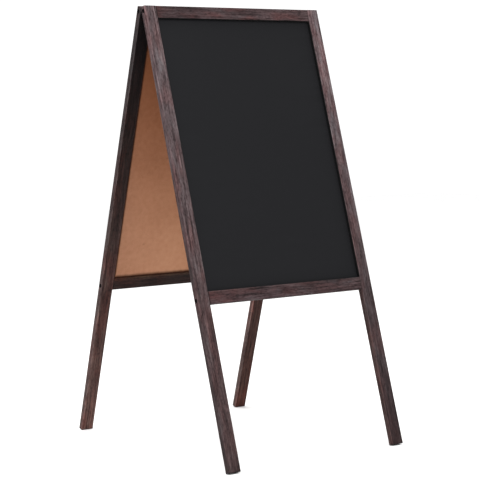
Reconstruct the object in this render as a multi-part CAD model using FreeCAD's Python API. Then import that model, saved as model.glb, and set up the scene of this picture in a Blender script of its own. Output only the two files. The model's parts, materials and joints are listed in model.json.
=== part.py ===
import FreeCAD, Part
import math
import os

# Double-sided A-frame menu chalkboard. Two identical wooden frames each hold one chalkboard
# panel in a groove, and two butt hinges join them at the top so that the stand folds flat.
#
# Millimetres, +Z up. X runs across the boards and Y from the front board to the rear board.
# The origin is on the floor, midway between the four feet, with the stand fully open.

# ---- driving dimensions: wooden frames
frame_width = 470.0
stile_length = 1004.0
stile_width = 30.0
stock_thickness = 14.0
top_rail_width = 28.0
bottom_rail_width = 28.0
bottom_rail_low_edge = 654.0     # from the top end, measured along the stile
edge_radius = 2.0                # sanded long edges
end_radius = 1.0                 # eased ends of the stiles
lean_deg = 16.8                  # of each frame from upright when the stand is open

# ---- driving dimensions: chalkboard panels
chalk_sheet_thickness = 0.8
backing_thickness = 2.5
panel_depth = 2.8                # of its bare side, from the frame's inner face
groove_depth = 7.0
panel_edge_gap = 1.0             # room at the bottom of each groove

# ---- driving dimensions: frame screws, one through each stile into each rail end
frame_screw_length = 50.0
frame_screw_head_radius = 3.5
frame_screw_shank_radius = 1.9
frame_screw_sink = 3.0           # head below the stile's outer side
frame_counterbore_radius = 4.5

# ---- driving dimensions: butt hinges and their screws
hinge_length = 38.0
hinge_from_centre = 140.0
knuckle_count = 5
knuckle_end_gap = 0.15
pin_radius = 1.1
leaf_thickness = 1.1
leaf_depth = 11.0
barrel_to_wood_gap = 0.4
barrel_to_plate_gap = 0.4
leaf_corner_radius = 1.5
fixed_knuckle_play = 0.02
running_knuckle_play = 0.06
pin_head_radius = 1.7
pin_head_thickness = 0.6
leaf_screw_spacing = 24.0
leaf_screw_length = 10.0
leaf_screw_head_radius = 2.3
leaf_screw_shank_radius = 1.2

# ---- clearances
screw_play = 0.05                # round each screw in its hole
seat_play = 0.02                 # under each countersunk head
stop_gap = 0.05                  # between the two frames' top edges at full opening

# ---- worked-out dimensions
lean = math.radians(lean_deg)
panel_thickness = chalk_sheet_thickness + backing_thickness
groove_low = panel_depth
groove_high = groove_low + panel_thickness
half_width = frame_width / 2
rail_end = half_width - stile_width
bottom_rail_top_edge = bottom_rail_low_edge - bottom_rail_width
groove_top = top_rail_width - groove_depth
groove_bottom = bottom_rail_top_edge + groove_depth
top_screw_down = groove_top / 2
bottom_screw_down = (groove_bottom + bottom_rail_low_edge) / 2
barrel_radius = pin_radius + leaf_thickness
face_offset = barrel_radius + barrel_to_wood_gap

# The hinge pin sits just far enough below the stile ends for their eased inner edges to meet
# when both frames lean by the opening angle. That contact is the opening stop.
stop_reach = (face_offset + end_radius) * math.cos(lean) - end_radius - stop_gap / 2
pin_drop = end_radius + stop_reach / math.sin(lean)

# With the stand open, each eased inner edge at the bottom of a stile touches the floor.
foot_reach = (stile_length - pin_drop - end_radius) * math.cos(lean)
pin_height = foot_reach + end_radius - (face_offset + end_radius) * math.sin(lean)

plate_top = pin_drop + barrel_radius + barrel_to_plate_gap
plate_bottom = plate_top + leaf_depth
leaf_screw_down = (plate_top + plate_bottom) / 2

TOLERANCE = 0.001
CUTTER_OVERRUN = 1.0
X_AXIS = FreeCAD.Vector(1, 0, 0)
Y_AXIS = FreeCAD.Vector(0, 1, 0)
Z_AXIS = FreeCAD.Vector(0, 0, 1)
CENTRE = FreeCAD.Vector(0, 0, 0)


# ---- building in one frame's own space
# Each frame is built upright with the hinge pin on the X axis. "depth" is measured outwards
# from the frame's inner face, and "down" is measured from its top end.

def spot(x, depth, down):
    return FreeCAD.Vector(x, -face_offset - depth, pin_drop - down)


def block(x_low, x_high, depth_low, depth_high, down_low, down_high):
    corner = spot(x_low, depth_high, down_high)
    size_x = x_high - x_low
    size_y = depth_high - depth_low
    size_z = down_high - down_low
    return Part.makeBox(size_x, size_y, size_z, corner)


def ease_long_edges(bar):
    longest = max(edge.Length for edge in bar.Edges)
    edges = [edge for edge in bar.Edges if edge.Length > longest - TOLERANCE]
    return bar.makeFillet(edge_radius, edges)


def ease_ends(bar):
    edges = [edge for edge in bar.Edges if edge.BoundBox.ZLength < TOLERANCE]
    return bar.makeFillet(end_radius, edges)


def aimed(shape, direction, place):
    """Turns a shape built along -Z so that it points along a direction, and puts it in place."""
    turn = FreeCAD.Rotation(-Z_AXIS, direction)
    moved = shape.copy()
    moved.Placement = FreeCAD.Placement(place, turn)
    return moved


def turned_solid(outline):
    """Revolves (radius, height) points about Z into a solid."""
    points = [FreeCAD.Vector(radius, 0, height) for radius, height in outline]
    points.append(points[0])
    return Part.Face(Part.makePolygon(points)).revolve(CENTRE, Z_AXIS, 360)


# ---- screws: head at the top on Z = 0, tip pointing along -Z

def wood_screw(length, head_radius, shank_radius):
    head_height = head_radius - shank_radius
    tip_height = 2 * shank_radius
    screw = turned_solid([
        (0, 0),
        (head_radius, 0),
        (shank_radius, -head_height),
        (shank_radius, tip_height - length),
        (0, -length),
    ])
    slot_length = 1.2 * head_radius
    slot_width = 0.24 * head_radius
    slot_depth = 0.3 * head_radius
    for long_side, short_side in ((slot_length, slot_width), (slot_width, slot_length)):
        corner = FreeCAD.Vector(-long_side / 2, -short_side / 2, -slot_depth)
        screw = screw.cut(Part.makeBox(long_side, short_side, 2 * slot_depth, corner))
    return screw


def screw_hole(length, head_radius, shank_radius, counterbore_radius, sink):
    hole_radius = shank_radius + screw_play
    seat_radius = head_radius + seat_play
    seat_height = seat_radius - hole_radius
    mouth = sink + CUTTER_OVERRUN
    return turned_solid([
        (0, mouth),
        (counterbore_radius, mouth),
        (counterbore_radius, -seat_play),
        (seat_radius, -seat_play),
        (hole_radius, -seat_play - seat_height),
        (hole_radius, -length - screw_play),
        (0, -length - screw_play),
    ])


frame_screw = wood_screw(frame_screw_length, frame_screw_head_radius, frame_screw_shank_radius)
frame_hole = screw_hole(frame_screw_length, frame_screw_head_radius, frame_screw_shank_radius,
                        frame_counterbore_radius, frame_screw_sink)
leaf_screw = wood_screw(leaf_screw_length, leaf_screw_head_radius, leaf_screw_shank_radius)
leaf_hole = screw_hole(leaf_screw_length, leaf_screw_head_radius, leaf_screw_shank_radius,
                       leaf_screw_head_radius + screw_play, 0)


def frame_screw_copies(side, pattern):
    """Copies for one stile. side is -1 for the stile at low X and 1 for the one at high X."""
    head_x = side * (half_width - frame_screw_sink)
    middle = stock_thickness / 2
    inwards = X_AXIS * -side
    return [aimed(pattern, inwards, spot(head_x, middle, down))
            for down in (top_screw_down, bottom_screw_down)]


def leaf_screw_copies(side, pattern):
    """Copies for one hinge leaf, in a row along it."""
    copies = []
    for step in (-leaf_screw_spacing / 2, leaf_screw_spacing / 2):
        head = spot(side * hinge_from_centre + step, -leaf_thickness, leaf_screw_down)
        copies.append(aimed(pattern, -Y_AXIS, head))
    return copies


# ---- wooden frame

def stile(side):
    inner_x = side * rail_end
    outer_x = side * half_width
    x_low = min(inner_x, outer_x)
    x_high = max(inner_x, outer_x)
    bar = block(x_low, x_high, 0, stock_thickness, 0, stile_length)
    bar = ease_ends(ease_long_edges(bar))
    groove_floor = side * (rail_end + groove_depth)
    groove_mouth = side * (rail_end - CUTTER_OVERRUN)
    groove = block(min(groove_floor, groove_mouth), max(groove_floor, groove_mouth),
                   groove_low, groove_high, groove_top, groove_bottom)
    return bar.cut([groove] + frame_screw_copies(side, frame_hole))


def rail(down_low, down_high, groove_from, groove_to):
    bar = ease_long_edges(block(-rail_end, rail_end, 0, stock_thickness, down_low, down_high))
    overrun = rail_end + CUTTER_OVERRUN
    groove = block(-overrun, overrun, groove_low, groove_high, groove_from, groove_to)
    cutters = [groove]
    for side in (-1, 1):
        cutters += frame_screw_copies(side, frame_hole)
    return bar.cut(cutters)


def top_rail():
    bar = rail(0, top_rail_width, groove_top, top_rail_width + CUTTER_OVERRUN)
    holes = leaf_screw_copies(-1, leaf_hole) + leaf_screw_copies(1, leaf_hole)
    return bar.cut(holes)


def bottom_rail():
    return rail(bottom_rail_top_edge, bottom_rail_low_edge,
                bottom_rail_top_edge - CUTTER_OVERRUN, groove_bottom)


# ---- chalkboard panel, held in the grooves of all four frame pieces

def panel_layer(depth_low, depth_high):
    half_panel = rail_end + groove_depth - panel_edge_gap
    return block(-half_panel, half_panel, depth_low, depth_high,
                 groove_top + panel_edge_gap, groove_bottom - panel_edge_gap)


def backing_board():
    return panel_layer(groove_low, groove_low + backing_thickness)


def chalk_sheet():
    return panel_layer(groove_low + backing_thickness, groove_high)


# ---- butt hinge

def x_cylinder(radius, x_low, x_high):
    return Part.makeCylinder(radius, x_high - x_low, FreeCAD.Vector(x_low, 0, 0), X_AXIS)


def hinge_leaf(side, knuckles, knuckle_play):
    """One leaf with its share of the knuckles, which are numbered from 0 at low X."""
    leaf_x = side * hinge_from_centre - hinge_length / 2
    leaf = block(leaf_x, leaf_x + hinge_length, -leaf_thickness, 0, plate_top, plate_bottom)
    corners = [edge for edge in leaf.Edges
               if abs(edge.Length - leaf_thickness) < TOLERANCE
               and abs(edge.CenterOfMass.z - (pin_drop - plate_bottom)) < TOLERANCE]
    leaf = leaf.makeFillet(leaf_corner_radius, corners)
    pitch = hinge_length / knuckle_count
    for number in knuckles:
        x_low = leaf_x + number * pitch + knuckle_end_gap
        x_high = leaf_x + (number + 1) * pitch - knuckle_end_gap
        barrel = x_cylinder(barrel_radius, x_low, x_high)
        neck = block(x_low, x_high, -leaf_thickness - barrel_to_wood_gap, 0,
                     pin_drop + pin_radius, plate_top)
        leaf = leaf.fuse([barrel, neck])
    bore = x_cylinder(pin_radius + knuckle_play, leaf_x - CUTTER_OVERRUN,
                      leaf_x + hinge_length + CUTTER_OVERRUN)
    return leaf.cut([bore] + leaf_screw_copies(side, leaf_hole)).removeSplitter()


def hinge_pin(side):
    """The pin reaches past both end knuckles and is peened over into a head at each end."""
    x_low = side * hinge_from_centre - hinge_length / 2
    x_high = x_low + hinge_length
    shank = x_cylinder(pin_radius, x_low, x_high)
    low_head = x_cylinder(pin_head_radius, x_low - pin_head_thickness, x_low)
    high_head = x_cylinder(pin_head_radius, x_high, x_high + pin_head_thickness)
    return shank.fuse([low_head, high_head]).removeSplitter()


# ---- placing and writing the pieces

os.makedirs("parts", exist_ok=True)


def opened(shape, half_turn):
    """Leans a piece into the open stand. The rear frame is the front one turned half round."""
    placed = shape.copy()
    placed.rotate(CENTRE, X_AXIS, -lean_deg)
    if half_turn:
        placed.rotate(CENTRE, Z_AXIS, 180)
    placed.translate(FreeCAD.Vector(0, 0, pin_height))
    return placed


def write(name, solids, half_turn):
    placed = [opened(solid, half_turn) for solid in solids]
    shape = placed[0] if len(placed) == 1 else Part.makeCompound(placed)
    shape.exportStep(f"parts/{name}.step")
    print(f"{name}: {len(placed)} solid(s), {shape.Volume / 1000:.2f} cm3, valid {shape.isValid()}")


def write_frame(label, half_turn, knuckles, knuckle_play):
    write(f"{label}_top_rail", [top_rail()], half_turn)
    write(f"{label}_bottom_rail", [bottom_rail()], half_turn)
    write(f"{label}_backing_board", [backing_board()], half_turn)
    write(f"{label}_chalk_sheet", [chalk_sheet()], half_turn)
    left_side = 1 if half_turn else -1
    for hand, side in (("left", left_side), ("right", -left_side)):
        write(f"{label}_{hand}_stile", [stile(side)], half_turn)
        write(f"{label}_{hand}_frame_screws", frame_screw_copies(side, frame_screw), half_turn)
        write(f"{hand}_hinge_{label}_leaf", [hinge_leaf(side, knuckles, knuckle_play)], half_turn)
        write(f"{hand}_hinge_{label}_screws", leaf_screw_copies(side, leaf_screw), half_turn)


write_frame("front", False, (0, 2, 4), fixed_knuckle_play)
write_frame("rear", True, (1, 3), running_knuckle_play)
write("left_hinge_pin", [hinge_pin(-1)], False)
write("right_hinge_pin", [hinge_pin(1)], False)
print(f"hinge pin {pin_drop:.3f} mm below the top ends, {pin_height:.3f} mm above the floor")
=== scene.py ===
import json
import math

import bpy
from mathutils import Euler, Matrix, Vector


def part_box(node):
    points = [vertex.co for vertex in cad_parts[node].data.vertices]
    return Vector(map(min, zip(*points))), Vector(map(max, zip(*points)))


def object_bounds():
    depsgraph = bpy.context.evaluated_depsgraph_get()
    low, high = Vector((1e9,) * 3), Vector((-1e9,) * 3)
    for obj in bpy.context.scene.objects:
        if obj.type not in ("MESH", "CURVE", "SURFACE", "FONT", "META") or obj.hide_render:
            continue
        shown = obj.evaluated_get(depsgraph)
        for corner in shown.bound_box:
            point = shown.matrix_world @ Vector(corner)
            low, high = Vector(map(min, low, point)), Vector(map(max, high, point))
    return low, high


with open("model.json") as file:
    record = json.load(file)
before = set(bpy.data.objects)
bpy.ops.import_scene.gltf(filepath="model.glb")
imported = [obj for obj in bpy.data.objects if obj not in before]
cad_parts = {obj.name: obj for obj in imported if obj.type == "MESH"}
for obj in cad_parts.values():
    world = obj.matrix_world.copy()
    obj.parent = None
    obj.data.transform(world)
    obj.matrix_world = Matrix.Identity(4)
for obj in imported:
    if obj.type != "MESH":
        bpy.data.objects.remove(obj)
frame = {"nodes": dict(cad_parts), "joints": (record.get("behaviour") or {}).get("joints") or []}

# The looks of a double-sided A-frame menu chalkboard: stained wooden frames, matte black
# writing panels on raw fibreboard, black frame screws and zinc-plated butt hinges.
# Metres, in the CAD model's own frame.

cad_low, cad_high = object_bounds()

MM = 0.001


def middle_of(node_name):
    low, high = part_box(node_name)
    return (low + high) / 2


# ---- sizes of a wooden frame, the same in front and at the rear

LEAN = math.radians(frame["joints"][0]["range_deg"][1]) / 2     # from upright
STOCK_THICKNESS = 14 * MM
RAIL_WIDTH = 28 * MM
SCREW_HOLE_RADIUS = 4.5 * MM
SCREW_FROM_OPENING = 17.5 * MM  # how far above and below the panel's opening the screws are
WALL_LOW = -0.9 * MM            # of the recess, outwards from the middle of the stock
WALL_HIGH = 6.5 * MM

left_stile_low, left_stile_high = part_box("front_left_stile")
right_stile_low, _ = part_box("front_right_stile")
STILE_WIDTH = left_stile_high.x - left_stile_low.x
OPENING_HALF_WIDTH = (right_stile_low.x - left_stile_high.x) / 2

UP_THE_STILE = Vector((0, math.sin(LEAN), math.cos(LEAN)))
rail_spacing = (middle_of("front_top_rail") - middle_of("front_bottom_rail")).dot(UP_THE_STILE)
panel_offset = (middle_of("front_chalk_sheet") - middle_of("front_left_stile")).dot(UP_THE_STILE)
OPENING_HALF_HEIGHT = (rail_spacing - RAIL_WIDTH) / 2
OPENING_HIGH = panel_offset + OPENING_HALF_HEIGHT    # along a stile, up from its middle
OPENING_LOW = panel_offset - OPENING_HALF_HEIGHT
SCREW_HEIGHTS = (OPENING_HIGH + SCREW_FROM_OPENING, OPENING_LOW - SCREW_FROM_OPENING)


def lean_of(node_name):
    return LEAN if node_name.startswith("front") else -LEAN


# ---- camera

CAMERA_PLACE = Vector((-2.1100, -2.9604, 0.7550))
CAMERA_YAW = math.radians(35.707)        # from +Y towards +X
CAMERA_PITCH = math.radians(-4.829)
CAMERA_ROLL = math.radians(-0.786)
CAMERA_LENS_MM = 121.81
CAMERA_SENSOR_MM = 36
CAMERA_CLIP_START = 0.1
CAMERA_CLIP_END = 50


def make_camera():
    data = bpy.data.cameras.new("camera")
    data.lens = CAMERA_LENS_MM
    data.sensor_width = CAMERA_SENSOR_MM
    data.clip_start = CAMERA_CLIP_START
    data.clip_end = CAMERA_CLIP_END
    camera = bpy.data.objects.new("camera", data)
    bpy.context.scene.collection.objects.link(camera)
    turn = Matrix.Rotation(-CAMERA_YAW, 4, "Z")
    tip = Matrix.Rotation(math.pi / 2 + CAMERA_PITCH, 4, "X")
    roll = Matrix.Rotation(CAMERA_ROLL, 4, "Z")
    camera.matrix_world = Matrix.Translation(CAMERA_PLACE) @ turn @ tip @ roll
    bpy.context.scene.camera = camera


# ---- a short way to write node trees

class Tree:
    """One material's nodes. Inputs are numbers, vectors, colours, or sockets to link from."""

    def __init__(self, name):
        self.material = bpy.data.materials.new(name)
        self.material.use_nodes = True
        self.nodes = self.material.node_tree.nodes
        self.links = self.material.node_tree.links
        self.nodes.clear()

    def put(self, socket, value):
        if isinstance(value, bpy.types.NodeSocket):
            self.links.new(value, socket)
        elif isinstance(value, (tuple, list)) and socket.type == "RGBA":
            socket.default_value = (*value[:3], 1.0)
        else:
            socket.default_value = value

    def node(self, kind, inputs, **settings):
        made = self.nodes.new("ShaderNode" + kind)
        for name, value in settings.items():
            setattr(made, name, value)
        for name, value in inputs.items():
            self.put(made.inputs[name], value)
        return made

    def calc(self, operation, first, second=0.0, clamp=False):
        made = self.nodes.new("ShaderNodeMath")
        made.operation = operation
        made.use_clamp = clamp
        self.put(made.inputs[0], first)
        self.put(made.inputs[1], second)
        return made.outputs[0]

    def weighted_sum(self, *terms):
        """Adds up (value, weight) pairs."""
        total = None
        for value, weight in terms:
            product = self.calc("MULTIPLY", value, weight)
            total = product if total is None else self.calc("ADD", total, product)
        return total

    def remap(self, value, from_low, from_high, to_low=0.0, to_high=1.0):
        made = self.node("MapRange", {
            "Value": value, "From Min": from_low, "From Max": from_high,
            "To Min": to_low, "To Max": to_high})
        return made.outputs["Result"]

    def mix(self, factor, first, second, blend="MIX"):
        made = self.nodes.new("ShaderNodeMix")
        made.data_type = "RGBA"
        made.blend_type = blend
        self.put(made.inputs["Factor"], factor)
        colours = [socket for socket in made.inputs if socket.type == "RGBA"]
        self.put(colours[0], first)
        self.put(colours[1], second)
        return [socket for socket in made.outputs if socket.type == "RGBA"][0]

    def tinted(self, colour, tint):
        return self.mix(1.0, colour, tint, "MULTIPLY")

    def ramp(self, value, stops):
        made = self.nodes.new("ShaderNodeValToRGB")
        self.put(made.inputs["Fac"], value)
        elements = made.color_ramp.elements
        while len(elements) < len(stops):
            elements.new(0.5)
        for element, (position, colour) in zip(elements, stops):
            element.position = position
            element.color = (*colour, 1.0)
        return made.outputs["Color"]

    def noise(self, vector, scale, detail=2.0, roughness=0.5, distortion=0.0):
        made = self.node("TexNoise", {
            "Vector": vector, "Scale": scale, "Detail": detail,
            "Roughness": roughness, "Distortion": distortion})
        return made.outputs["Fac"]

    def vector_calc(self, operation, first, second):
        made = self.nodes.new("ShaderNodeVectorMath")
        made.operation = operation
        self.put(made.inputs[0], first)
        self.put(made.inputs[1], second)
        return made.outputs["Vector"]

    def scaled(self, vector, factors):
        return self.vector_calc("MULTIPLY", vector, factors)

    def moved(self, vector, offset):
        return self.vector_calc("ADD", vector, offset)

    def piece_coordinates(self, turn, middle):
        """Object coordinates turned and centred on a piece."""
        source = self.node("TexCoord", {}).outputs["Object"]
        place = -(turn.to_matrix() @ middle)
        made = self.node("Mapping", {
            "Vector": source, "Location": place, "Rotation": turn}, vector_type="POINT")
        return made.outputs["Vector"]

    def split(self, vector):
        made = self.node("SeparateXYZ", {"Vector": vector})
        return made.outputs["X"], made.outputs["Y"], made.outputs["Z"]

    def bump(self, height, depth, strength):
        made = self.node("Bump", {"Height": height, "Distance": depth, "Strength": strength})
        return made.outputs["Normal"]

    def finish(self, inputs):
        shader = self.node("BsdfPrincipled", inputs)
        output = self.nodes.new("ShaderNodeOutputMaterial")
        self.links.new(shader.outputs["BSDF"], output.inputs["Surface"])
        return self.material


def dress(node_name, material):
    """Gives a CAD node a material in place of its plain one."""
    for slot in frame["nodes"][node_name].material_slots:
        slot.material = material


# ---- stained wood

# features per metre across the grain, through it and along it
WANDER = (14, 14, 9)
BANDS = (230, 230, 13)
FIBRES = (520, 520, 20)
PORES = (1500, 1500, 70)
PATCHES = (45, 45, 13)
BLOTCHES = (80, 80, 28)
FLECKS = (430, 430, 130)

STAIN_TONES = [
    (0.400, (0.020, 0.0118, 0.0123)),
    (0.465, (0.056, 0.0365, 0.0375)),
    (0.523, (0.094, 0.0650, 0.0660)),
    (0.605, (0.178, 0.1360, 0.1380)),
]
RED_STAIN = (1.22, 0.84, 0.80)          # tints
GREY_STAIN = (0.84, 0.97, 0.97)
DARK_FLECK = (0.52, 0.50, 0.50)
WORN_EDGE_AND_HIGHLIGHT = (1.40, 1.43, 1.43)
PORE_BROWN = (0.014, 0.009, 0.009)      # colours
END_GRAIN_BROWN = (0.016, 0.011, 0.010)
FOOT_BAND_BLACK = (0.008, 0.006, 0.006)
# painted shade inside a screw hole
SCREW_HOLE_SHADE_BLACK = (0.001, 0.001, 0.001)
# painted shade, near black, on the walls of the recess round the panel
RECESS_SHADE_BLACK = (0.0030, 0.0030, 0.0032)

WANDER_WIDTH = 10 * MM          # how far the grain can wander sideways
SIDE_REACH = 1.6 * MM           # how far a side's tone of painted light and shade, and the painted recess shade, reach onto the faces
RAIL_INNER_REACH = 9 * MM       # the same for the side of a rail that meets the panel
HOLE_SHADE_RIM = 0.6 * MM          # painted shade in a ring round a screw hole


class Batten:
    """A wooden piece's half sizes, and where a point lies in it, as sockets."""

    def __init__(self, tree, node_name, along_x, inner_side):
        low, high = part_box(node_name)
        self.along_x = along_x
        if along_x:
            self.half_width = RAIL_WIDTH / 2
            self.half_length = (high.x - low.x) / 2
        else:
            self.half_width = STILE_WIDTH / 2
            self.half_length = (high.z - low.z) / 2 / math.cos(LEAN)
        turn = Euler((lean_of(node_name), math.pi / 2 if along_x else 0, 0))
        self.centred = tree.piece_coordinates(turn, middle_of(node_name))
        self.across, self.depth, self.along = tree.split(self.centred)
        inwards = tree.calc("MULTIPLY", self.across, inner_side)
        self.from_outer_side = tree.calc("ADD", self.half_width, inwards)
        self.from_inner_side = tree.calc("SUBTRACT", self.half_width, inwards)
        reader_side = -1 if node_name.startswith("front") else 1
        self.outwards = tree.calc("MULTIPLY", self.depth, reader_side)


class Grain:
    """The noises that stained wood is made from."""

    def __init__(self, tree, centred, seed):
        seeded = tree.moved(centred, (seed * 1.7, seed * 0.9, seed * 2.3))

        # the streaks wander a little sideways along the piece
        wander = tree.noise(tree.scaled(seeded, WANDER), 1.0, detail=2.0)
        shift = tree.calc("MULTIPLY", tree.calc("SUBTRACT", wander, 0.5), WANDER_WIDTH)
        sideways = tree.node("CombineXYZ", {"X": shift, "Y": shift}).outputs["Vector"]
        wavy = tree.moved(seeded, sideways)

        self.bands = tree.noise(tree.scaled(wavy, BANDS), 1.0, detail=3.0, roughness=0.6)
        self.fibres = tree.noise(tree.scaled(wavy, FIBRES), 1.0, detail=3.0, roughness=0.65)
        pores = tree.noise(tree.scaled(wavy, PORES), 1.0, detail=1.0)
        self.open_pores = tree.remap(pores, 0.62, 0.70)
        self.patches = tree.noise(tree.scaled(seeded, PATCHES), 1.0, detail=2.0)
        blotch_place = tree.moved(seeded, (3.1, 0, 1.3))
        self.blotches = tree.noise(tree.scaled(blotch_place, BLOTCHES), 1.0, detail=3.0)
        fleck_place = tree.moved(wavy, (0, 2.7, 4.1))
        self.flecks = tree.noise(tree.scaled(fleck_place, FLECKS), 1.0, detail=2.0, roughness=0.6)


def stain_colour(tree, grain, redness):
    """Streaky stain with redder and greyer patches, open pores and dark flecks."""
    colour = tree.ramp(tree.weighted_sum(
        (grain.bands, 0.34),
        (grain.fibres, 0.20),
        (grain.blotches, 0.14),
        (grain.flecks, 0.32)), STAIN_TONES)
    reddened = tree.calc("MULTIPLY", tree.remap(grain.patches, 0.46, 0.64), redness)
    colour = tree.mix(reddened, colour, tree.tinted(colour, RED_STAIN))
    greyed = tree.remap(grain.blotches, 0.50, 0.68, 0.0, 0.8)
    colour = tree.mix(greyed, colour, tree.tinted(colour, GREY_STAIN))
    colour = tree.mix(tree.calc("MULTIPLY", grain.open_pores, 0.5), colour, PORE_BROWN)
    darkened = tree.remap(grain.flecks, 0.55, 0.66, 0.0, 0.8)
    return tree.mix(darkened, colour, tree.tinted(colour, DARK_FLECK))


def worn_highlit_edges_and_ends(tree, batten, grain, colour):
    """Sanded edges let some bare wood through, lightened further as a painted highlight on the
    rounded edges, and end grain drinks more stain.
    """
    from_side = tree.calc("SUBTRACT", batten.half_width, tree.calc("ABSOLUTE", batten.across))
    from_face = tree.calc("SUBTRACT", STOCK_THICKNESS / 2, tree.calc("ABSOLUTE", batten.depth))
    from_edge = tree.calc("ADD", from_side, from_face)
    ragged_edge = tree.calc("ADD", from_edge, tree.calc("MULTIPLY", grain.blotches, 1.6 * MM))
    # bare wood on the edges, with a painted highlight on their rounding
    worn = tree.remap(ragged_edge, 4.0 * MM, 2.2 * MM, 0.0, 0.65)
    colour = tree.mix(worn, colour, tree.tinted(colour, WORN_EDGE_AND_HIGHLIGHT))
    from_end = tree.calc("SUBTRACT", batten.half_length, tree.calc("ABSOLUTE", batten.along))
    end_grain = tree.remap(from_end, 1.6 * MM, 0.2 * MM, 0.0, 0.75)
    return tree.mix(end_grain, colour, END_GRAIN_BROWN)


def light_shade_and_stain_tint(tree, batten, tones):
    """Painted light and shade, near black high on the inward faces, with stain brushed on
    unevenly from piece to piece and along each piece.
    """
    outward_tones, inward_tones, outer_tones, inner_tones = tones
    towards_first = tree.remap(batten.along, -batten.half_length, batten.half_length)
    towards_second = tree.calc("SUBTRACT", 1.0, towards_first)

    # on the inward face of a stile the top's painted shade reaches past the middle
    inward_share = tree.calc("POWER", towards_second, 1.0 if batten.along_x else 1.6)
    inward_tint = tree.mix(inward_share, *inward_tones)
    outward_tint = tree.mix(towards_second, *outward_tones)
    face_edge = STOCK_THICKNESS / 2 - 1.5 * MM
    tint = tree.mix(tree.remap(batten.outwards, -face_edge, face_edge), inward_tint, outward_tint)

    outer_share = tree.remap(batten.from_outer_side, SIDE_REACH, 0.6 * MM)
    tint = tree.mix(outer_share, tint, tree.mix(towards_second, *outer_tones))
    # the side of a rail that meets the panel carries its painted light and shade over a wider
    # strip
    inner_reach = RAIL_INNER_REACH if batten.along_x else SIDE_REACH
    inner_share = tree.remap(batten.from_inner_side, inner_reach, 0.6 * MM)
    return tree.mix(inner_share, tint, tree.mix(towards_second, *inner_tones))


def darkened_foot(tree, batten, grain, colour):
    """Darkens a ragged band at the foot of a stile."""
    from_foot = tree.calc("ADD", batten.along, batten.half_length)
    ragged_foot = tree.calc("ADD", from_foot, tree.calc("MULTIPLY", grain.blotches, 5 * MM))
    foot_band = tree.remap(ragged_foot, 8 * MM, 4.5 * MM, 0.0, 0.8)
    return tree.mix(foot_band, colour, FOOT_BAND_BLACK)


def screw_hole_shade(tree, batten, colour):
    """Paints shade, near black, into the screw holes in a stile."""
    depth_squared = tree.calc("MULTIPLY", batten.depth, batten.depth)
    for screw_height in SCREW_HEIGHTS:
        above = tree.calc("SUBTRACT", batten.along, screw_height)
        above_squared = tree.calc("MULTIPLY", above, above)
        distance = tree.calc("SQRT", tree.calc("ADD", above_squared, depth_squared))
        shade_rim_end = SCREW_HOLE_RADIUS + HOLE_SHADE_RIM
        hole_shade = tree.remap(distance, shade_rim_end, SCREW_HOLE_RADIUS - 0.1 * MM)
        colour = tree.mix(hole_shade, colour, SCREW_HOLE_SHADE_BLACK)
    return colour


def recess_wall_shade(tree, batten, grain):
    """How much near-black painted shade covers the walls of the recess round the panel."""
    ragged = tree.calc("MULTIPLY", tree.calc("SUBTRACT", grain.fibres, 0.5), 0.8 * MM)
    height = tree.calc("ADD", batten.outwards, ragged)
    limits = [
        (height, WALL_LOW - 0.3 * MM, WALL_LOW + 0.1 * MM),
        (height, WALL_HIGH + 0.4 * MM, WALL_HIGH - 0.2 * MM),
    ]
    if not batten.along_x:
        limits += [
            (batten.along, OPENING_LOW, OPENING_LOW + 1 * MM),
            (batten.along, OPENING_HIGH, OPENING_HIGH - 1 * MM),
        ]
    painted = tree.remap(batten.from_inner_side, SIDE_REACH, 1.1 * MM)
    for value, bare, full in limits:
        painted = tree.calc("MULTIPLY", painted, tree.remap(value, bare, full))
    return painted


def stained_wood(node_name, along_x, inner_side, seed, redness, tones):
    """Dark grey-brown stain on open-grained wood. The grain runs along the piece.

    inner_side is the sign of the side that faces the writing panel. The tones are pairs of tints,
    painted light and shade with uneven stain, for the outward face, the inward face, the outer
    side and the inner side. A pair is for a stile's top and bottom, or for a rail's ends at low
    and high X.
    """
    tree = Tree("stained_wood_" + node_name)
    batten = Batten(tree, node_name, along_x, inner_side)
    grain = Grain(tree, batten.centred, seed)
    colour = stain_colour(tree, grain, redness)
    colour = worn_highlit_edges_and_ends(tree, batten, grain, colour)
    # tints of painted light and shade, with stain that differs from piece to piece
    colour = tree.tinted(colour, light_shade_and_stain_tint(tree, batten, tones))
    if not along_x:
        colour = darkened_foot(tree, batten, grain, colour)
        colour = screw_hole_shade(tree, batten, colour)
    # near-black painted shade on the walls of the recess round the panel
    colour = tree.mix(recess_wall_shade(tree, batten, grain), colour, RECESS_SHADE_BLACK)
    streaks = tree.calc("ADD", grain.fibres, tree.calc("MULTIPLY", grain.bands, 0.6))
    relief = tree.calc("SUBTRACT", streaks, grain.open_pores)
    return tree.finish({
        "Base Color": colour,
        "Roughness": tree.remap(grain.fibres, 0.3, 0.7, 0.72, 0.60),
        "Specular IOR Level": 0.11,
        "Normal": tree.bump(relief, 0.25 * MM, 0.6),
    })


# ---- writing panel

BOARD_BLACK = (0.0058, 0.0058, 0.0067)
CHALK_DUST = (0.040, 0.041, 0.043)
TOOTH_GREY = (0.018, 0.019, 0.021)


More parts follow.
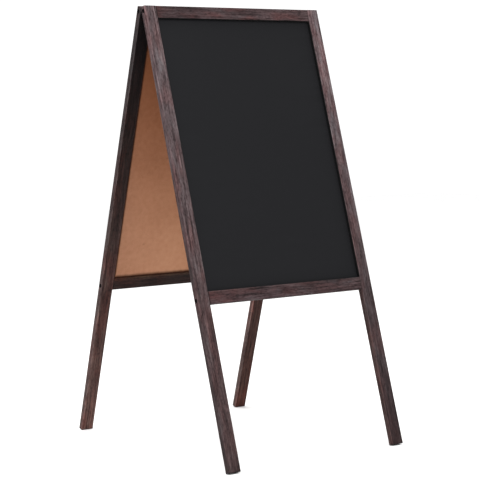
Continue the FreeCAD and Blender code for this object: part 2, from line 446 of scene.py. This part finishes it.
def chalkboard(node_name, seed):
    """Very matte black, with the faint cloudiness of wiped chalk and a fine tooth."""
    tree = Tree("chalkboard_" + node_name)
    turn = Euler((lean_of(node_name), 0, 0))
    centred = tree.piece_coordinates(turn, middle_of(node_name))
    seeded = tree.moved(centred, (seed, seed * 0.7, seed * 1.9))
    clouds = tree.noise(tree.scaled(seeded, (4.0, 4.0, 2.6)), 1.0, detail=3.0)
    wipes = tree.noise(tree.scaled(seeded, (9, 9, 60)), 1.0, detail=2.0, distortion=0.6)
    dust = tree.calc("MULTIPLY", tree.remap(clouds, 0.40, 0.75), tree.remap(wipes, 0.35, 0.75))
    tooth = tree.noise(seeded, 1400, detail=2.0)
    peel = tree.noise(seeded, 260, detail=1.0)
    colour = tree.mix(tree.calc("MULTIPLY", dust, 0.06), BOARD_BLACK, CHALK_DUST)
    colour = tree.mix(tree.calc("MULTIPLY", tooth, 0.06), colour, TOOTH_GREY)
    height = tree.calc("ADD", tree.calc("MULTIPLY", tooth, 0.4), peel)
    return tree.finish({
        "Base Color": colour,
        "Roughness": tree.remap(dust, 0.0, 1.0, 0.78, 0.90),
        "Specular IOR Level": 0.10,
        "Normal": tree.bump(height, 0.05 * MM, 0.5),
    })


# ---- backing board

BOARD_TONES = [
    (0.34, (0.232, 0.112, 0.061)),
    (0.50, (0.262, 0.131, 0.074)),
    (0.66, (0.290, 0.150, 0.087)),
]
PALE_FIBRE = (0.36, 0.205, 0.125)       # colours
SPECK_BROWN = (0.115, 0.052, 0.027)
SPOT_BROWN = (0.085, 0.040, 0.021)
# painted light low on the board and painted shade high on it
PAINTED_LIGHT_BELOW = (1.08, 1.03, 1.04)         # tints
PAINTED_SHADE_ABOVE = (0.66, 0.475, 0.37)
PAINTED_SIDE_SHADE = (0.86, 0.87, 0.89)
PAINTED_MIDDLE_LIGHT = (1.16, 1.18, 1.16)
# painted shade in the board's margin next to the frame
PAINTED_MARGIN_SHADE = (0.08, 0.045, 0.025)
SHADE_FADE_START = -200 * MM                  # heights above the board's middle
SHADE_FADE_END = 180 * MM
STRIP_WIDTH = 88 * MM                   # of the painted shade strip at each side, half way up
STRIP_NARROWING = 0.35                  # of the strip, for each unit of height
STRIP_LEAST_WIDTH = 20 * MM


def fibreboard(node_name, seed):
    """Raw tan-brown fibreboard with a few dark specks."""
    tree = Tree("fibreboard_" + node_name)
    turn = Euler((lean_of(node_name), 0, 0))
    centred = tree.piece_coordinates(turn, middle_of(node_name))
    seeded = tree.moved(centred, (seed * 1.3, seed, seed * 0.6))
    drift = tree.noise(seeded, 6.0, detail=2.0)
    fluff = tree.noise(seeded, 90, detail=3.0, roughness=0.5)
    fibres = tree.noise(tree.scaled(seeded, (1200, 1200, 340)), 1.0, detail=2.0, distortion=1.2)
    specks = tree.noise(tree.moved(seeded, (5.2, 1.1, 0.4)), 300, detail=1.0)
    spots = tree.noise(tree.moved(seeded, (2.2, 7.1, 3.4)), 70, detail=1.0)
    colour = tree.ramp(tree.weighted_sum((fluff, 0.4), (drift, 0.6)), BOARD_TONES)
    colour = tree.mix(tree.remap(fibres, 0.45, 0.75, 0.0, 0.18), colour, PALE_FIBRE)
    colour = tree.mix(tree.remap(specks, 0.70, 0.77, 0.0, 0.30), colour, SPECK_BROWN)
    colour = tree.mix(tree.remap(spots, 0.73, 0.77, 0.0, 0.25), colour, SPOT_BROWN)

    # painted shade: darker and redder towards the top, where the two boards almost meet
    across, _, up = tree.split(centred)
    top_shade = tree.mix(tree.remap(up, SHADE_FADE_START, SHADE_FADE_END), PAINTED_LIGHT_BELOW, PAINTED_SHADE_ABOVE)
    colour = tree.tinted(colour, top_shade)

    # and painted shade darker at its sides, over a strip that widens downwards, with painted
    # light in the middle
    from_side = tree.calc("SUBTRACT", OPENING_HALF_WIDTH, tree.calc("ABSOLUTE", across))
    strip = tree.calc("SUBTRACT", STRIP_WIDTH, tree.calc("MULTIPLY", up, STRIP_NARROWING))
    strip = tree.calc("MAXIMUM", strip, STRIP_LEAST_WIDTH)
    share = tree.calc("DIVIDE", from_side, strip, clamp=True)
    colour = tree.tinted(colour, tree.mix(share, PAINTED_SIDE_SHADE, PAINTED_MIDDLE_LIGHT))

    # painted shade, dark orange-brown, in its margin next to the frame, less deep at the sides
    from_end = tree.calc("SUBTRACT", OPENING_HALF_HEIGHT, tree.calc("ABSOLUTE", up))
    side_margin = tree.calc("SUBTRACT", tree.calc("MULTIPLY", from_side, 1.6), 2.1 * MM)
    margin = tree.calc("MINIMUM", side_margin, from_end)
    ragged = tree.calc("MULTIPLY", tree.calc("SUBTRACT", fluff, 0.5), 1.5 * MM)
    margin_shade = tree.remap(tree.calc("ADD", margin, ragged), 8.3 * MM, 1.8 * MM)
    colour = tree.mix(margin_shade, colour, tree.tinted(colour, PAINTED_MARGIN_SHADE))
    height = tree.weighted_sum((fluff, 0.3), (fibres, 0.5))
    return tree.finish({
        "Base Color": colour,
        "Roughness": tree.remap(fluff, 0.3, 0.7, 0.85, 0.75),
        "Specular IOR Level": 0.10,
        "Normal": tree.bump(height, 0.10 * MM, 0.4),
    })


# ---- metal

PHOSPHATE_BLACK = (0.005, 0.005, 0.0055)
WORN_BROWN = (0.022, 0.018, 0.016)
ZINC_TONES = [(0.3, (0.42, 0.41, 0.385)), (0.7, (0.60, 0.59, 0.57))]
ZINC_BLOOM = (0.30, 0.285, 0.25)


def black_screw(node_name, seed):
    """Black phosphate with worn, slightly brown high spots."""
    tree = Tree("black_screw_" + node_name)
    source = tree.node("TexCoord", {}).outputs["Object"]
    seeded = tree.moved(source, (seed, seed, seed))
    grit = tree.noise(seeded, 1800, detail=2.0)
    wear = tree.noise(seeded, 420, detail=3.0)
    worn = tree.remap(wear, 0.52, 0.72, 0.0, 0.5)
    colour = tree.mix(worn, PHOSPHATE_BLACK, WORN_BROWN)
    return tree.finish({
        "Base Color": colour,
        "Metallic": 0.3,
        "Roughness": tree.remap(grit, 0.3, 0.7, 0.50, 0.70),
        "Specular IOR Level": 0.2,
        "Normal": tree.bump(grit, 0.03 * MM, 0.5),
    })


def zinc_steel(node_name, seed):
    """Zinc-plated steel, rolled along X, with a faint bloom."""
    tree = Tree("zinc_steel_" + node_name)
    source = tree.node("TexCoord", {}).outputs["Object"]
    seeded = tree.moved(source, (seed, seed * 0.4, seed * 1.6))
    lines = tree.noise(tree.scaled(seeded, (60, 2600, 2600)), 1.0, detail=2.0)
    bloom = tree.noise(seeded, 130, detail=3.0)
    stain = tree.remap(bloom, 0.50, 0.72, 0.0, 0.55)
    colour = tree.mix(stain, tree.ramp(lines, ZINC_TONES), ZINC_BLOOM)
    return tree.finish({
        "Base Color": colour,
        "Metallic": 1.0,
        "Roughness": tree.remap(tree.calc("ADD", lines, stain), 0.3, 1.0, 0.26, 0.52),
        "Normal": tree.bump(lines, 0.02 * MM, 0.5),
    })


# ---- each CAD node's finish

# node: grain along X, side facing the panel, seed, redness, tones of painted light and shade with
# uneven stain
WOODEN_PIECES = {
    "front_left_stile": (False, 1, 1.0, 0.6, (
        ((0.78, 0.84, 0.87), (0.47, 0.40, 0.39)),
        ((0.04, 0.035, 0.035), (0.70, 0.52, 0.43)),
        ((0.82, 0.79, 0.81), (0.26, 0.22, 0.22)),
        ((0.40, 0.40, 0.40), (0.40, 0.34, 0.32)))),
    "front_right_stile": (False, -1, 2.0, 0.6, (
        ((1.06, 1.14, 1.18), (0.19, 0.145, 0.148)),
        ((0.04, 0.035, 0.035), (0.60, 0.45, 0.38)),
        ((0.56, 0.60, 0.60), (0.50, 0.46, 0.45)),
        ((0.40, 0.40, 0.40), (0.40, 0.315, 0.295)))),
    "front_top_rail": (True, -1, 3.0, 0.9, (
        ((0.34, 0.29, 0.30), (0.53, 0.48, 0.49)),
        ((0.10, 0.09, 0.09), (0.10, 0.09, 0.09)),
        ((0.46, 0.44, 0.44), (0.46, 0.44, 0.44)),
        ((0.34, 0.29, 0.30), (0.53, 0.48, 0.49)))),
    "front_bottom_rail": (True, 1, 4.0, 0.9, (
        ((0.44, 0.33, 0.34), (0.39, 0.47, 0.50)),
        ((0.15, 0.115, 0.105), (0.15, 0.105, 0.10)),
        ((0.35, 0.32, 0.32), (0.35, 0.32, 0.32)),
        ((0.39, 0.34, 0.34), (0.37, 0.39, 0.40)))),
    "rear_left_stile": (False, 1, 5.0, 0.8, (
        ((0.76, 0.80, 0.83), (0.44, 0.39, 0.38)),
        ((0.020, 0.010, 0.015), (0.82, 0.64, 0.54)),
        ((0.24, 0.28, 0.29), (0.82, 0.72, 0.64)),
        ((0.40, 0.38, 0.36), (0.60, 0.50, 0.45)))),
    "rear_right_stile": (False, -1, 6.0, 0.8, (
        ((0.76, 0.80, 0.83), (0.44, 0.39, 0.38)),
        ((0.03, 0.022, 0.026), (0.64, 0.39, 0.30)),
        ((0.60, 0.62, 0.60), (0.80, 0.72, 0.65)),
        ((0.80, 0.74, 0.70), (1.12, 1.02, 0.90)))),
    "rear_top_rail": (True, -1, 7.0, 0.9, (
        ((0.51, 0.48, 0.48), (0.40, 0.36, 0.37)),
        ((0.10, 0.09, 0.09), (0.10, 0.09, 0.09)),
        ((0.46, 0.44, 0.44), (0.46, 0.44, 0.44)),
        ((0.46, 0.42, 0.42), (0.42, 0.38, 0.38)))),
    "rear_bottom_rail": (True, 1, 8.0, 0.9, (
        ((0.41, 0.37, 0.38), (0.40, 0.36, 0.37)),
        ((0.171, 0.124, 0.099), (0.144, 0.090, 0.090)),
        ((0.35, 0.32, 0.32), (0.35, 0.32, 0.32)),
        ((0.40, 0.27, 0.15), (0.22, 0.145, 0.11)))),
}


def dress_everything():
    for name, settings in WOODEN_PIECES.items():
        dress(name, stained_wood(name, *settings))
    for number, label in enumerate(("front", "rear")):
        board = label + "_backing_board"
        sheet = label + "_chalk_sheet"
        dress(board, fibreboard(board, 1.0 + number))
        dress(sheet, chalkboard(sheet, 3.0 + number))
    for number, name in enumerate(sorted(frame["nodes"])):
        if name.endswith("frame_screws"):
            dress(name, black_screw(name, number))
        elif "hinge" in name:
            dress(name, zinc_steel(name, number))


# ---- floor and light

FLOOR_SIZE = 14.0
FLOOR_GREYS = (0.86, 0.86, 0.86), (0.90, 0.90, 0.90)
WORLD_COLOUR = (1.0, 1.0, 1.0, 1.0)
WORLD_STRENGTH = 1.12

# name: place, size, watts
LIGHTS = {
    "key": ((-1.5, -1.9, 2.4), 1.4, 75),
    "top": ((0.2, 0.6, 3.4), 2.6, 70),
}


def make_floor():
    tree = Tree("floor_paper")
    source = tree.node("TexCoord", {}).outputs["Object"]
    colour = tree.mix(tree.noise(source, 3.0, detail=3.0), *FLOOR_GREYS)
    material = tree.finish({"Base Color": colour, "Roughness": 0.9, "Specular IOR Level": 0.1})
    half = FLOOR_SIZE / 2
    mesh = bpy.data.meshes.new("floor")
    corners = [(-half, -half, 0), (half, -half, 0), (half, half, 0), (-half, half, 0)]
    mesh.from_pydata(corners, [], [(0, 1, 2, 3)])
    floor = bpy.data.objects.new("floor", mesh)
    floor.data.materials.append(material)
    bpy.context.scene.collection.objects.link(floor)


def make_light(name, place, target, size, watts):
    data = bpy.data.lights.new(name, "AREA")
    data.shape = "SQUARE"
    data.size = size
    data.energy = watts
    light = bpy.data.objects.new(name, data)
    light.location = place
    light.rotation_euler = (Vector(target) - Vector(place)).to_track_quat("-Z", "Y").to_euler()
    bpy.context.scene.collection.objects.link(light)


def make_lights():
    world = bpy.data.worlds.new("studio")
    world.use_nodes = True
    background = world.node_tree.nodes["Background"]
    background.inputs["Color"].default_value = WORLD_COLOUR
    background.inputs["Strength"].default_value = WORLD_STRENGTH
    bpy.context.scene.world = world
    centre = (cad_low + cad_high) / 2
    for name, (place, size, watts) in LIGHTS.items():
        make_light(name, place, centre, size, watts)


make_camera()
dress_everything()
make_floor()
make_lights()
bpy.context.scene.view_settings.view_transform = "Standard"
